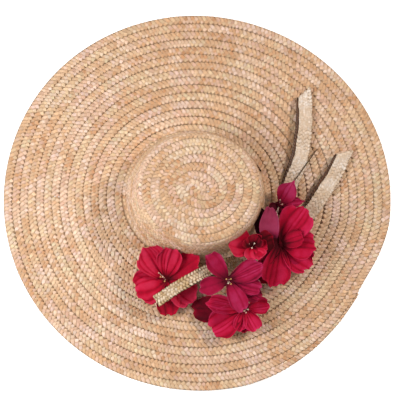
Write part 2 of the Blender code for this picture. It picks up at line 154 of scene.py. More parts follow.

# columns of each flower: angle round the hat in degrees, share of the way across the brim, height of the
# petals' roots as a share of FLOWER_HEIGHT, then its petals: azimuth in degrees, length and width as shares
# of PETAL_LENGTH and PETAL_WIDTH, slope at the root and at the tip in degrees, pleats across the petal,
# depth of the pleats in mm, height of the ruffle at its end in mm, and how light the cloth is: from -1 to 1
# for its dye, and lower where painted shade darkens a petal that lies under others
FLOWERS = {
    "left": (250.9, 0.192, 0.29, [
        (275, 0.98, 0.78, 2, -6, 2, 0.4, 1.4, -0.8),
        (320, 0.95, 0.98, 4, -4, 3, 0.5, 1.0, 1.1),
        (33, 1.06, 0.80, 24, 18, 2, 0.4, 0.8, -0.3),
        (205, 0.87, 1.20, 16, -2, 5, 0.9, 1.6, 0.5),
        (130, 1.02, 1.04, 34, 10, 7, 0.9, 1.6, 0.6),
        (80, 0.90, 0.84, 40, 24, 5, 1.1, 1.2, 0.5),
    ]),
    "middle": (288.1, 0.210, 0.92, [
        (332, 0.98, 0.62, 4, -8, 5, 0.6, 0.8, -0.9),
        (344, 0.90, 0.60, 12, 0, 6, 0.6, 0.8, -0.3),
        (22, 0.98, 0.74, 24, 6, 6, 0.6, 0.6, -0.1),
        (131, 0.92, 0.62, 30, 16, 2, 0.3, 0.6, 0.0),
        (201, 0.84, 0.60, 24, 6, 2, 0.2, 0.4, 0.0),
        (294, 0.92, 0.62, 16, 0, 2, 0.4, 0.6, 0.1),
    ]),
    "lower": (292.2, 0.456, 0.32, [
        (180, 1.40, 0.88, -1, -6, 2, 0.2, 0.6, -2.2),
        (268, 0.62, 0.56, 6, -3, 4, 0.6, 0.6, -1.2),
        (172, 1.06, 0.62, 18, 4, 7, 0.6, 0.6, 0.8),
        (212, 1.06, 1.02, 12, -8, 5, 0.6, 1.0, 0.4),
        (12, 0.64, 0.58, 18, 0, 4, 0.7, 0.6, 0.7),
        (250, 0.62, 0.46, 14, -3, 4, 0.6, 0.6, 0.5),
        (296, 0.64, 0.58, 15, -5, 4, 0.8, 1.0, 0.9),
    ]),
    "cup": (313.9, 0.075, 1.00, [
        (20, 0.58, 0.70, 10, -6, 3, 0.4, 0.6, -2.4),
        (171, 0.72, 1.02, 36, 16, 3, 0.3, 0.8, 1.2),
        (118, 0.50, 0.70, 66, 50, 3, 0.4, 0.6, -1.2),
        (60, 0.42, 0.55, 62, 46, 3, 0.4, 0.6, -1.8),
        (280, 0.44, 0.74, 40, 10, 4, 0.5, 0.8, 1.2),
        (338, 0.42, 0.58, 36, 16, 3, 0.4, 0.6, -0.2),
    ]),
    "top": (353.2, 0.109, 0.58, [
        (222, 0.38, 0.44, 20, 0, 1, 0.1, 0.4, -2.4),
        (300, 0.40, 0.44, 10, 0, 2, 0.3, 0.4, -1.0),
        (6, 0.66, 0.40, 20, 4, 3, 0.4, 0.4, 0.1),
        (58, 0.72, 0.66, 26, 4, 3, 0.5, 0.2, 0.9),
    ]),
    "right": (329.1, 0.241, 0.42, [
        (240, 1.16, 0.76, -6, -6, 3, 0.5, 0.8, -1.6),
        (212, 0.74, 0.80, 8, -6, 3, 0.5, 0.8, -2.0),
        (160, 0.60, 0.80, 16, 0, 3, 0.4, 0.8, -3.0),
        (318, 0.98, 0.98, 10, -4, 5, 0.8, 2.2, 0.2),
        (257, 1.16, 1.00, 8, -4, 4, 0.6, 1.6, -0.2),
        (352, 0.90, 0.96, 26, 0, 4, 0.7, 1.8, -0.1),
        (57, 1.12, 1.14, 30, 6, 5, 0.7, 1.6, 0.3),
        (18, 0.66, 0.62, 44, 20, 3, 0.5, 1.0, -0.4),
    ]),
    "bud": (326.6, 0.132, 0.81, [
        (112, 0.88, 0.60, 8, 0, 1, 0.0, 0.2, -3.0),
        (128, 0.56, 0.50, 10, 0, 1, 0.0, 0.2, -3.0),
        (92, 0.84, 0.66, 34, 2, 0, 0.0, 0.0, 1.3),
    ]),
}

# The stamens. columns: azimuth in degrees, reach and rise from the petals' roots in mm, shade of the bead
STAMENS = {
    "left": [(147, 11.4, 9, "rose"), (172, 7.3, 10, "gold"), (168, 4.4, 12, "rose"), (251, 5.0, 9, "gold")],
    "middle": [(177, 2.9, 10, "gold"), (9, 3.2, 9, "gold"), (266, 5.1, 10, "pale"), (300, 6.8, 8, "gold")],
    "lower": [(237, 4.0, 9, "rose"), (334, 3.1, 10, "pale"), (274, 5.4, 8, "rose")],
    "cup": [(158, 6.0, 8, "pale"), (52, 2.8, 9, "pale"), (246, 4.0, 8, "pale")],
    "top": [(92, 4.6, 8, "rose"), (330, 2.8, 9, "rose"), (255, 15.8, 7, "pale"), (246, 14.0, 8, "rose")],
}
SEED_RADIUS = 0.0011
FILAMENT_RADIUS = 0.00028


def linear(hex_colour):
    """A colour given as sRGB hex, as the linear numbers that a shader takes."""
    parts = [int(hex_colour[index:index + 2], 16) / 255 for index in (1, 3, 5)]
    return tuple(part / 12.92 if part <= 0.04045 else ((part + 0.055) / 1.055) ** 2.4 for part in parts)


def add_node(tree, kind, settings=None, values=None, links=None):
    """Adds a node with its settings, its sockets' values and what feeds its sockets."""
    node = tree.nodes.new(kind)
    for name, value in (settings or {}).items():
        setattr(node, name, value)
    for socket, value in (values or {}).items():
        node.inputs[socket].default_value = value
    for socket, source in (links or {}).items():
        tree.links.new(source, node.inputs[socket])
    return node


def smooth(share):
    share = np.clip(share, 0, 1)
    return share * share * (3 - 2 * share)


def unit(vectors):
    return vectors / np.linalg.norm(vectors, axis=-1, keepdims=True)


# The hat block: every place on it is an angle round the hat and a distance down from the middle of the tip

HEAD_MEAN = (HEAD_LENGTH + HEAD_WIDTH) / 4
HEAD_STRETCH = (HEAD_LENGTH - HEAD_WIDTH) / (HEAD_LENGTH + HEAD_WIDTH)
BRIM_RUN = (BRIM_LENGTH + BRIM_WIDTH) / 4 - HEAD_MEAN
CROWN_TOP = HEADLINE_HEIGHT + CROWN_HEIGHT + LONE_THICKNESS + CLEARANCE
SHOULDER_RUN = SHOULDER_RADIUS * (WALL_SLOPE - TIP_SLOPE)


def crown_runs():
    """The lengths of the crown's tip and wall, which with the shoulder reach from the middle to the brim."""
    run_left = HEAD_MEAN - SHOULDER_RADIUS * (math.sin(WALL_SLOPE) - math.sin(TIP_SLOPE))
    drop_left = CROWN_HEIGHT - SHOULDER_RADIUS * (math.cos(TIP_SLOPE) - math.cos(WALL_SLOPE))
    tip_run = math.sin(TIP_SLOPE) / TIP_SLOPE
    tip_drop = (1 - math.cos(TIP_SLOPE)) / TIP_SLOPE
    scale = tip_run * math.sin(WALL_SLOPE) - tip_drop * math.cos(WALL_SLOPE)
    tip = (run_left * math.sin(WALL_SLOPE) - drop_left * math.cos(WALL_SLOPE)) / scale
    wall = (tip_run * drop_left - tip_drop * run_left) / scale
    return tip, wall


TIP_RUN, WALL_RUN = crown_runs()
CROWN_RUN = TIP_RUN + SHOULDER_RUN + WALL_RUN


def crown_line(distance):
    """Radius and height of the inside of the crown."""
    tip_radius = TIP_RUN / TIP_SLOPE
    slope = np.minimum(distance, TIP_RUN) / tip_radius
    turn = slope + np.clip(distance - TIP_RUN, 0, SHOULDER_RUN) / SHOULDER_RADIUS
    wall = np.maximum(distance - TIP_RUN - SHOULDER_RUN, 0)
    radius = tip_radius * np.sin(slope) + SHOULDER_RADIUS * (np.sin(turn) - np.sin(slope))
    height = CROWN_TOP - tip_radius * (1 - np.cos(slope)) - SHOULDER_RADIUS * (np.cos(slope) - np.cos(turn))
    return radius + wall * math.cos(WALL_SLOPE), height - wall * math.sin(WALL_SLOPE)


def round_the_edge(table, angle):
    """Reads a table of (angle in degrees, value), eased from spot to spot."""
    spots = [(table[-1][0] - 360, table[-1][1])] + table + [(table[0][0] + 360, table[0][1])]
    angles, values = (np.array(column, float) for column in zip(*spots))
    place = np.mod(np.degrees(angle), 360)
    index = np.clip(np.searchsorted(angles, place, side="right") - 1, 0, len(angles) - 2)
    share = (place - angles[index]) / (angles[index + 1] - angles[index])
    return values[index] + (values[index + 1] - values[index]) * (1 - np.cos(np.pi * share)) / 2


def sharp_block(angle, distance):
    """The inside of the hat, with a sharp corner at the headline."""
    radius, height = crown_line(np.minimum(distance, CROWN_RUN))
    even = smooth(radius / OVAL_FROM)
    stretch = START_FOLD / 2 * (1 - even) + radius * HEAD_STRETCH * even
    mirrored = 2 * START_TURN * (1 - even) - angle
    x = -CROWN_BACK + radius * np.cos(angle) + stretch * np.cos(mirrored)
    y = CROWN_SIDE + radius * np.sin(angle) + stretch * np.sin(mirrored)
    share = np.maximum(distance - CROWN_RUN, 0) / BRIM_RUN
    x = x + (BRIM_LENGTH / 2 * np.cos(angle) - x) * share
    y = y + (BRIM_WIDTH / 2 * np.sin(angle) - y) * share
    lift = EDGE_WAVE * round_the_edge(EDGE_LIFTS, angle)
    brim = HEADLINE_HEIGHT * (1 - smooth(share / LEVEL_FROM)) + lift * share * share
    return np.stack([x, y, np.where(distance < CROWN_RUN, height, brim)], axis=-1)


def block(angle, distance):
    """The inside of the hat. The wall turns into the brim in a soft corner."""
    near = np.clip(1 - np.abs(distance - CROWN_RUN) / (2 * CORNER_SOFT), 0, 1)
    steps = (-1, -0.5, 0, 0.5, 1)
    return sum(sharp_block(angle, distance + CORNER_SOFT * near * step) for step in steps) / len(steps)


def outward(angle, distance):
    """The direction out of the hat."""
    step = 0.1 * MM
    down = block(angle, distance + step) - block(angle, distance - step)
    across = block(angle + step, distance) - block(angle - step, distance)
    normal = np.cross(down, across)
    # round the fold in the middle the block is flat, and the rows lie on both sides of it
    normal = np.where((distance < 2 * START_FOLD)[..., None], (0.0, 0.0, 1.0), normal)
    return unit(normal)


def brim_spot(degrees, share):
    """A point under the brim, where a trim is sewn on."""
    angle = np.radians(degrees)
    spot = sharp_block(angle, CROWN_RUN + share * BRIM_RUN)
    drawn_in = EDGE_DENT * round_the_edge(EDGE_DENTS, angle) * share
    spot[..., 0] -= drawn_in * np.cos(angle)
    spot[..., 1] -= drawn_in * np.sin(angle)
    return spot


def brim_top(x, y):
    """Height of the top of the brim's rows at a place in plan."""
    angle = np.arctan2(y - CROWN_SIDE, x + CROWN_BACK)
    share = np.zeros_like(angle)
    for _ in range(8):
        start = brim_spot(np.degrees(angle), np.zeros_like(share))[..., :2]
        run = brim_spot(np.degrees(angle), np.ones_like(share))[..., :2] - start
        offset = np.stack([x, y], axis=-1) - start - run * share[..., None]
        length = np.linalg.norm(run, axis=-1)
        share = share + (offset * run).sum(-1) / length ** 2
        sideways = (offset[..., 1] * run[..., 0] - offset[..., 0] * run[..., 1]) / length
        angle = angle + sideways / (HEAD_MEAN + share * BRIM_RUN)
    return brim_spot(np.degrees(angle), share)[..., 2] + SOLID_THICKNESS + CLEARANCE


# The spiral: the plait is followed by how far it has turned, in degrees

ROW_PITCH = (CROWN_RUN + BRIM_RUN - START_FOLD / 2) / (ROWS - 0.5 + STEP_SHIFT)
LAST_TURN = (ROWS - 1) * 360 + ROW_STEP[0]


def rows_out(turned):
    """How many rows out the plait lies: an even spiral on the crown, level rows with a step each on the brim."""
    even = turned / 360
    past = np.mod(turned - ROW_STEP[0], 360) / (ROW_STEP[1] - ROW_STEP[0])
    stepped = np.floor((turned - ROW_STEP[0]) / 360) + smooth(past) + STEP_SHIFT
    share = smooth((even - TURNS_ON_CROWN) / TURNS_TO_STEP)
    return even + share * (stepped - even)


def end_share(turned):
    """From 0 to 1 where the last row is drawn in under its neighbour."""
    start = LAST_TURN - (ROW_STEP[0] - END_FROM)
    return smooth((turned - start) / (LAST_TURN - start))


def plait_distance(turned):
    """Distance of the plait's middle from the middle of the tip."""
    left = rows_out(np.array(LAST_TURN, float)) - rows_out(turned)
    wander = ROW_WANDER * np.sin(np.radians(turned * 3.37)) * np.sin(np.radians(turned * 0.71) + 1)
    drawn_in = EDGE_DENT * end_share(turned)
    return CROWN_RUN + BRIM_RUN - ROW_PITCH * (0.5 + left) - drawn_in + wander


def plait_place(along_turns, lengths):
    """Makes the function that places a point of the plait by how far along, across and off the block it is."""

    def place(along, across, height):
        turned = np.interp(along, lengths, along_turns)
        angle = np.radians(turned)
        distance = plait_distance(turned) + across
        flat = 1 - CROWN_PRESSING * (1 - smooth(turned / 360 - TURNS_ON_CROWN + 1))
        rise = PLAIT_LAP * flat * (across / PLAIT_WIDTH + 0.5) - END_TUCK * end_share(turned)
        up = ROW_PLAIT.splint_thickness + rise + height
        return block(angle, distance) + outward(angle, distance) * up[..., None]

    return place


# Braiding

class Plait(NamedTuple):
    """How a flat braid is made. Measures are in metres."""

    width: float
    strands: int
    repeat: float             # length in which a strand crosses the braid and comes back
    samples: int              # stations on a strand in each repeat
    splint_width: float
    splint_thickness: float
    weave_height: float       # how far a splint rises over another, and dips under it
    patch: float              # length over which the straws keep about one shade
    shades: list              # sRGB hex of the straws that show, and their shares
    shaded_ground: str               # the straws further in, seen between them, and the dips of the straws that show: a darker colour, partly real and partly painted shade between the crossings


ROW_PLAIT = Plait(
    width=PLAIT_WIDTH, strands=3, repeat=0.0168, samples=12, splint_width=0.0050, splint_thickness=0.0004,
    weave_height=0.0003, patch=0.0280, shaded_ground="#D5AE88",
    shades=[
        ("#F3D7C0", 0.14),    # bleached cream
        ("#ECCAB8", 0.16),    # rose cream
        ("#E6D0A8", 0.12),    # green cream
        ("#E9C49C", 0.22),    # pale gold
        ("#DDB084", 0.20),    # gold
        ("#CF996C", 0.16),    # orange tan
    ],
)
CROWN_PLAIT = ROW_PLAIT._replace(repeat=0.0146, splint_width=0.0046)
TAIL_PLAIT = Plait(
    width=TAIL_WIDTH + 1.2 * MM, strands=7, repeat=0.0280, samples=18, splint_width=0.0038,
    splint_thickness=0.0004, weave_height=0.00025, patch=0.0120, shaded_ground="#DCC3A4",
    shades=[("#FAEEE0", 0.26), ("#F0DCC6", 0.30), ("#E6CDB2", 0.26), ("#D6B894", 0.18)],
)
LOOP_PLAIT = Plait(
    width=LOOP_WIDTH, strands=5, repeat=0.0200, samples=16, splint_width=0.0034, splint_thickness=0.0008,
    weave_height=0.0008, patch=0.0120, shaded_ground="#8E6B3F",
    shades=[("#F0DCC0", 0.26), ("#E2C59C", 0.34), ("#D0AD7C", 0.24), ("#B8925F", 0.16)],
)
# a dark plait hung under each tail's left edge: painted shadow for the band of shade beside the tail
SHADOW_STRIP_PLAIT = Plait(
    width=0.0085, strands=3, repeat=0.0120, samples=12, splint_width=0.0030, splint_thickness=0.0004,
    weave_height=0.0002, patch=0.0120, shaded_ground="#4A2C16",
    shades=[("#6E4526", 0.5), ("#5A3820", 0.5)],
)


def straw_colours(rng, total, shades, shortest, longest):
    """A function from length along a strand to the colour of the straw that lies there."""
    ends = np.cumsum(rng.uniform(shortest, longest, size=int(2 * total / (shortest + longest)) + 8))
    palette = np.array([linear(shade) for shade, _ in shades])
    weights = np.array([weight for _, weight in shades])
    chosen = palette[rng.choice(len(palette), size=len(ends) + 1, p=weights / weights.sum())]
    return lambda along: chosen[np.searchsorted(ends, along, side="right")]


def braid_path(phase, strands):
    """Where a strand lies in the braid: across it from -1 to 1, and over or under from -1 to 1."""
    across = (np.sin(phase) - 0.09 * np.sin(3 * phase)) / 1.09
    return across, np.sin((strands - 1) * phase)


# Sections across one splint, as shares of its width and thickness
SPLINT_SECTION = np.array([(-0.5, 0.0), (-0.30, 0.42), (0.0, 0.55), (0.30, 0.42), (0.5, 0.0), (0.0, -0.45)])
CORE_SECTION = np.array([(-0.5, 0.0), (0.0, 0.5), (0.5, 0.0), (0.0, -0.5)])


class Strands:
    """Gathers swept strands into one mesh, with a colour and a place in the grain for each point."""

    def __init__(self):
        self.vertices, self.faces, self.colours, self.grain = [], [], [], []
        self.count = 0

    def sweep(self, place, along, across, height, section, width, thickness, shade, offset):
        spine = place(along, across, height)
        ahead = unit(np.gradient(spine, axis=0))
        lift = place(along, across, height + 0.1 * MM) - spine
        side = unit(np.cross(ahead, lift))
        lift = np.cross(side, ahead)
        rings = (spine[:, None, :]
                 - side[:, None, :] * (section[:, 0] * width)[None, :, None]
                 + lift[:, None, :] * (section[:, 1] * thickness)[None, :, None])
        corner = np.arange(len(section))
        beside = (corner + 1) % len(section)
        stations = np.arange(len(along) - 1)[:, None] * len(section) + self.count
        quads = np.stack([stations + len(section) + corner, stations + len(section) + beside,
                          stations + beside, stations + corner], axis=-1)
        self.faces.extend(quads.reshape(-1, 4).tolist())
        self.faces.append((self.count + corner).tolist())
        self.faces.append((self.count + (len(along) - 1) * len(section) + corner)[::-1].tolist())
        self.vertices.append(rings.reshape(-1, 3))
        self.colours.append(np.repeat(shade, len(section), axis=0))
        self.grain.append(np.stack([np.tile(section[:, 0] * width, len(along)),
                                    np.repeat(along + offset, len(section))], axis=-1))
        self.count += len(along) * len(section)

    def piece(self, name):
        mesh = bpy.data.meshes.new(name)
        mesh.from_pydata(np.concatenate(self.vertices).tolist(), [], self.faces)
        rgba = np.ones((self.count, 4), np.float32)
        rgba[:, :3] = np.concatenate(self.colours)
        mesh.color_attributes.new("straw", "FLOAT_COLOR", "POINT").data.foreach_set("color", rgba.ravel())
        corners = np.zeros(len(mesh.loops), np.int32)
        mesh.loops.foreach_get("vertex_index", corners)
        grain = np.concatenate(self.grain)[corners].astype(np.float32)
        mesh.uv_layers.new(name="grain").data.foreach_set("uv", grain.ravel())
        mesh.shade_smooth()
        made = bpy.data.objects.new(name, mesh)
        bpy.context.scene.collection.objects.link(made)
        return made


def braid(name, place, start, end, plait, seed, lanes=1):
    """A flat braid, as one mesh. place(along, across, height) puts its points on what it lies on.

    The straws inside it lie in lanes, which follow the bend over the crown's shoulder and a slanted end.
    """
    rng = np.random.default_rng(seed)
    first = math.ceil(start / plait.repeat * plait.samples)
    last = math.floor(end / plait.repeat * plait.samples)
    along = np.arange(first, last + 1) * plait.repeat / plait.samples
    shared = straw_colours(np.random.default_rng(7), end, plait.shades, 0.4 * plait.patch, 1.6 * plait.patch)
    reach = (plait.width - plait.splint_width) / 2
    # plaited by hand, the crossings come a little closer in some places
    uneven = 0.7 * np.sin(along / (9 * MM)) + 0.5 * np.sin(along / (23 * MM) + 1)
    made = Strands()
    for strand in range(plait.strands):
        phase = 2 * math.pi * (along / plait.repeat + strand / plait.strands) + uneven
        across, over = braid_path(phase, plait.strands)
        across = reach * across * (1 + 0.06 * np.sin(along / (4 * MM) + strand * 2.1))
        own = straw_colours(rng, end, plait.shades, 0.15 * plait.patch, 0.7 * plait.patch)
        shade = 0.55 * own(along) + 0.45 * shared(along)
        crossing = np.floor(phase / math.pi * (plait.strands - 1) / 2).astype(int) % 4096
        shade = shade * (1 + 0.08 * rng.standard_normal(4096).clip(-2, 2)[crossing])[:, None]
        # painted highlight and shade: a straw keeps its own shade where it rises over the others, and turns to
        # the darker shaded_ground colour where it dips under them
        top = smooth((over + 0.1) / 0.8)[:, None]
        shade = np.array(linear(plait.shaded_ground)) * (1 - top) + shade * top
        made.sweep(place, along, across, plait.weave_height * over, SPLINT_SECTION, plait.splint_width,
                   plait.splint_thickness, shade, strand * 0.37)
    inside = along[::3]
    # the core between the straws is a little darker still: painted shade
    shade = 0.65 * np.array(linear(plait.shaded_ground)) + 0.35 * 0.7 * shared(inside)
    lane = 0.94 * plait.width / lanes
    for index in range(lanes):
        across = np.full_like(inside, lane * (index - (lanes - 1) / 2))
        height = np.full_like(inside, 0.04 * MM)
        made.sweep(place, inside, across, height, CORE_SECTION, lane, 0.3 * MM, shade, 0.0)
    return made.piece(name)


# Materials

def new_material(name):
    """An empty material, its node tree and its shader."""
    made = bpy.data.materials.new(name)
    made.use_nodes = True
    tree = made.node_tree
    return made, tree, tree.nodes["Principled BSDF"]


def straw_material(name, groove_mm):
    """Split wheat straw, dried and flattened: a waxy skin, fine grooves along it and a soft silky shine."""
    made, tree, shader = new_material(name)
    shader.inputs["Roughness"].default_value = 0.42
    shader.inputs["IOR"].default_value = 1.5
    colour = add_node(tree, "ShaderNodeAttribute", {"attribute_name": "straw"})
    grain = add_node(tree, "ShaderNodeUVMap", {"uv_map": "grain"})
    stretched = add_node(tree, "ShaderNodeMapping", values={"Scale": (1 / (groove_mm * MM), 60, 1)},
                         links={"Vector": grain.outputs["UV"]})
    grooves = add_node(tree, "ShaderNodeTexNoise", values={"Scale": 1.0, "Detail": 2.0},
                       links={"Vector": stretched.outputs["Vector"]})
    shade = add_node(tree, "ShaderNodeMapRange",
                     values={"From Min": 0.3, "From Max": 0.7, "To Min": 0.84, "To Max": 1.06},
                     links={"Value": grooves.outputs["Fac"]})
    tinted = add_node(tree, "ShaderNodeVectorMath", {"operation": "SCALE"},
                      links={"Vector": colour.outputs["Color"], "Scale": shade.outputs["Result"]})
    relief = add_node(tree, "ShaderNodeBump", values={"Strength": 0.35, "Distance": 0.08 * MM},
                      links={"Height": grooves.outputs["Fac"]})
    tree.links.new(tinted.outputs["Vector"], shader.inputs["Base Color"])
    tree.links.new(relief.outputs["Normal"], shader.inputs["Normal"])
    return made


def cloth_material(name, deep, middle, light):
    """Pressed cotton sateen, dyed by hand. Its colour follows the dye_and_shade attribute: dark at the root,
    lighter at the rim, with painted shade in the pleats' valleys and painted highlight on their ridges.
    """
    made, tree, shader = new_material(name)
    shader.inputs["Roughness"].default_value = 0.8
    shader.inputs["Sheen Weight"].default_value = 0.08
    shader.inputs["Sheen Roughness"].default_value = 0.4
    shader.inputs["Specular IOR Level"].default_value = 0.15
    dye_and_shade = add_node(tree, "ShaderNodeAttribute", {"attribute_name": "dye_and_shade"})
    place = add_node(tree, "ShaderNodeTexCoord")
    dye = add_node(tree, "ShaderNodeTexNoise", values={"Scale": 1 / (9 * MM), "Detail": 3.0},
                   links={"Vector": place.outputs["Object"]})
    blotch = add_node(tree, "ShaderNodeMath", {"operation": "MULTIPLY_ADD"}, values={1: 0.35, 2: -0.175},
                      links={0: dye.outputs["Fac"]})
    depth = add_node(tree, "ShaderNodeMath", {"operation": "ADD"},
                     links={0: dye_and_shade.outputs["Fac"], 1: blotch.outputs["Value"]})
    ramp = add_node(tree, "ShaderNodeValToRGB", links={"Fac": depth.outputs["Value"]})
    stops = ramp.color_ramp.elements
    stops[0].position = 0.0
    stops[0].color = (*linear(deep), 1)
    stops[1].position = 1.0
    stops[1].color = (*linear(light), 1)
    stops.new(0.45).color = (*linear(middle), 1)
    tree.links.new(ramp.outputs["Color"], shader.inputs["Base Color"])
    thread = add_node(tree, "ShaderNodeTexNoise", values={"Scale": 1 / (0.6 * MM), "Detail": 1.0},
                      links={"Vector": place.outputs["Object"]})
    relief = add_node(tree, "ShaderNodeBump", values={"Strength": 0.25, "Distance": 0.15 * MM},
                      links={"Height": thread.outputs["Fac"]})
    tree.links.new(relief.outputs["Normal"], shader.inputs["Normal"])
    return made


def plain_material(name, colour, roughness):
    """Lacquer or wound thread: one colour, mottled in grains of about a millimetre."""
    made, tree, shader = new_material(name)
    shader.inputs["Roughness"].default_value = roughness
    place = add_node(tree, "ShaderNodeTexCoord")
    mottle = add_node(tree, "ShaderNodeTexNoise", values={"Scale": 1 / (1.2 * MM), "Detail": 2.0},
                      links={"Vector": place.outputs["Object"]})
    shade = add_node(tree, "ShaderNodeMapRange",
                     values={"From Min": 0.3, "From Max": 0.7, "To Min": 0.8, "To Max": 1.1},
                     links={"Value": mottle.outputs["Fac"]})
    tinted = add_node(tree, "ShaderNodeVectorMath", {"operation": "SCALE"}, values={0: linear(colour)},
                      links={"Scale": shade.outputs["Result"]})
    tree.links.new(tinted.outputs["Vector"], shader.inputs["Base Color"])
    return made


STRAW = straw_material("split wheat straw", 0.5)
RIBBON_STRAW = straw_material("bleached straw ribbon", 0.4)
CRIMSON = cloth_material("crimson cotton sateen", "#4A000F", "#AE002C", "#DC3064")
SCARLET = cloth_material("scarlet cotton sateen", "#4C000C", "#B4002A", "#E23A60")
ROSE = cloth_material("rose cotton sateen", "#480014", "#9E0A38", "#C84078")
MAUVE = cloth_material("mauve cotton sateen", "#33000F", "#9A2248", "#B84E72")
CLOTHS = {
    "left": SCARLET, "middle": ROSE, "lower": CRIMSON, "cup": SCARLET, "top": ROSE, "right": CRIMSON,
    "bud": MAUVE,
}
BEADS = {
    "gold": plain_material("gold lacquered seed", "#D9A765", 0.3),
    "rose": plain_material("rose lacquered seed", "#E8B0A0", 0.3),
    "pale": plain_material("pearl lacquered seed", "#EAD9C2", 0.3),
}
THREAD = plain_material("olive thread on wire", "#5A4123", 0.8)


def dress(piece, materials, node):
    """Gives a finished piece its materials, hangs it from the root body and hides the solid it stands for."""
    for finish in materials:
        piece.data.materials.append(finish)
    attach(piece, "root")
    if node:
        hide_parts(node)


# The rows of the hat

def make_rows():
    turns = np.linspace(0, LAST_TURN, LAST_TURN + 1)
    middle = block(np.radians(turns), plait_distance(turns))
    lengths = np.concatenate([[0], np.cumsum(np.linalg.norm(np.diff(middle, axis=0), axis=1))])
    place = plait_place(turns, lengths)
    parts = [
        ("crown_tip_rows", 0, 6.5, "crown"),
        ("crown_wall_rows", 6.5, 12.5, "crown"),
        ("brim_inner_rows", 12.5, 17.5, "brim"),
        ("brim_middle_rows", 17.5, 21.5, "brim"),
        ("brim_outer_rows", 21.5, 25, "brim"),
        ("brim_edge_rows", 25, 28, "brim"),
    ]
    for seed, (name, first_row, last_row, node) in enumerate(parts):
        start, end = np.interp([first_row * 360, last_row * 360], turns, lengths)
        plait, lanes = (CROWN_PLAIT, 5) if node == "crown" else (ROW_PLAIT, 1)
        dress(braid(name, place, start, end, plait, seed, lanes), [STRAW], node)


# The bow

def smooth_route(points, share):
    """Points on the smooth curve through the route's own points, share from 0 to 1 along it."""
    last = len(points) - 1
    spot = np.clip(share, 0, 1) * last
    index = np.minimum(spot.astype(int), last - 1)
    t = (spot - index)[:, None]
    a, b, c, d = (points[np.clip(index + step, 0, last)] for step in (-1, 0, 1, 2))
    bend = (2 * a - 5 * b + 4 * c - d) * t * t
    return 0.5 * (2 * b + (c - a) * t + bend + (3 * b - a - 3 * c + d) * t ** 3)


def ribbon_place(table, lift, width):
    """Makes the function that places a point of a ribbon, and gives the ribbon's length."""
    rows = np.array(table, float)
    plan = brim_spot(rows[:, 0], rows[:, 1])[:, :2]
    route = np.concatenate([plan, rows[:, 2:3] * lift, rows[:, 3:]], axis=1)
    spots = smooth_route(route, np.linspace(0, 1, 241))
    ahead = np.gradient(spots[:, :2], axis=0)
    sides = np.stack([-ahead[:, 1], ahead[:, 0]], axis=-1)
    steps = np.linalg.norm(ahead, axis=1)
    for index in range(1, len(sides)):
        # at a fold the ribbon turns back, and its own side stays the same
        if steps[index] < 0.3 * np.median(steps):
            sides[index] = sides[index - 1]
        elif sides[index] @ sides[index - 1] < 0:
            sides[index] = -sides[index]
    sides = unit(sides)
    level = brim_top(spots[:, 0], spots[:, 1]) + spots[:, 2]
    middle = np.concatenate([spots[:, :2], level[:, None]], axis=1)
    lengths = np.concatenate([[0], np.cumsum(np.linalg.norm(np.diff(middle, axis=0), axis=1))])

    def surface(along, across):
        x, y, height, tilt, side_x, side_y = (
            np.interp(along, lengths, column) for column in (*spots.T, *sides.T)
        )
        tilt = np.radians(tilt)
        x = x + across * side_x * np.cos(tilt)
        y = y + across * side_y * np.cos(tilt)
        z = brim_top(x, y) + height + (width / 2 + across) * np.sin(tilt)
        return np.stack([x, y, z], axis=-1)

    def place(along, across, height):
        step = 0.5 * MM
        ahead = surface(along + step, across) - surface(along - step, across)
        beside = surface(along, across + step) - surface(along, across - step)
        normal = unit(np.cross(ahead, beside))
        return surface(along, across) + normal * (RIBBON_THICKNESS / 2 + height)[..., None]

    return place, lengths[-1]


def make_loop():
    place, length = ribbon_place(LOOP, LOOP_LIFT, LOOP_WIDTH)
    loop = braid("ribbon_loop_braid", place, 0.5 * MM, length - 0.5 * MM, LOOP_PLAIT, 33)
    dress(loop, [RIBBON_STRAW], "ribbon_loop")


def make_tail(name, table, seed):
    """A strip of fine plait, its tip cut back at the left edge. Under that edge hangs a strip of dark plait:
    painted shadow for the band of shade beside the tail.
    """
    place, length = ribbon_place(table, TAIL_LIFT, TAIL_WIDTH)
    tip_from = length - 2.2 * TAIL_WIDTH

    def slanted(along, across, height):
        past = np.clip((along - tip_from) / (length - tip_from), 0, 1)
        return place(along - (across + TAIL_WIDTH / 2) * past * past, across, height)

    # places the strip of painted shadow under the tail's left edge
    def shadow_strip_place(along, across, height):
        out = TAIL_WIDTH / 2 - SHADOW_STRIP_INSET + SHADOW_STRIP_SHOWS * np.sin(np.pi * np.clip(along / length, 0, 1)) ** 0.5
        return slanted(along, across + out, height - SHADOW_STRIP_DROP)

    ribbon = braid(name + "_braid", slanted, 0.5 * MM, length - 0.5 * MM, TAIL_PLAIT, seed, lanes=5)
    dress(ribbon, [RIBBON_STRAW], name)
    # the dark strip under the left edge: painted shadow
    edge = braid(name + "_painted_shadow_strip", shadow_strip_place, 0.5 * MM, length - 2 * MM, SHADOW_STRIP_PLAIT, seed + 10)
    dress(edge, [RIBBON_STRAW], name)


# The flowers

def petal_width(u, form):
    """Half width of a petal as a share of its full half width: a narrow claw, widest past the middle."""
    claw, widest, end = form
    rising = claw + (1 - claw) * np.sin(np.pi / 2 * np.minimum(u / widest, 1))
    falling = end + (1 - end) * np.cos(np.pi / 2 * (u - widest) / (1 - widest))
    return np.where(u < widest, rising, falling)


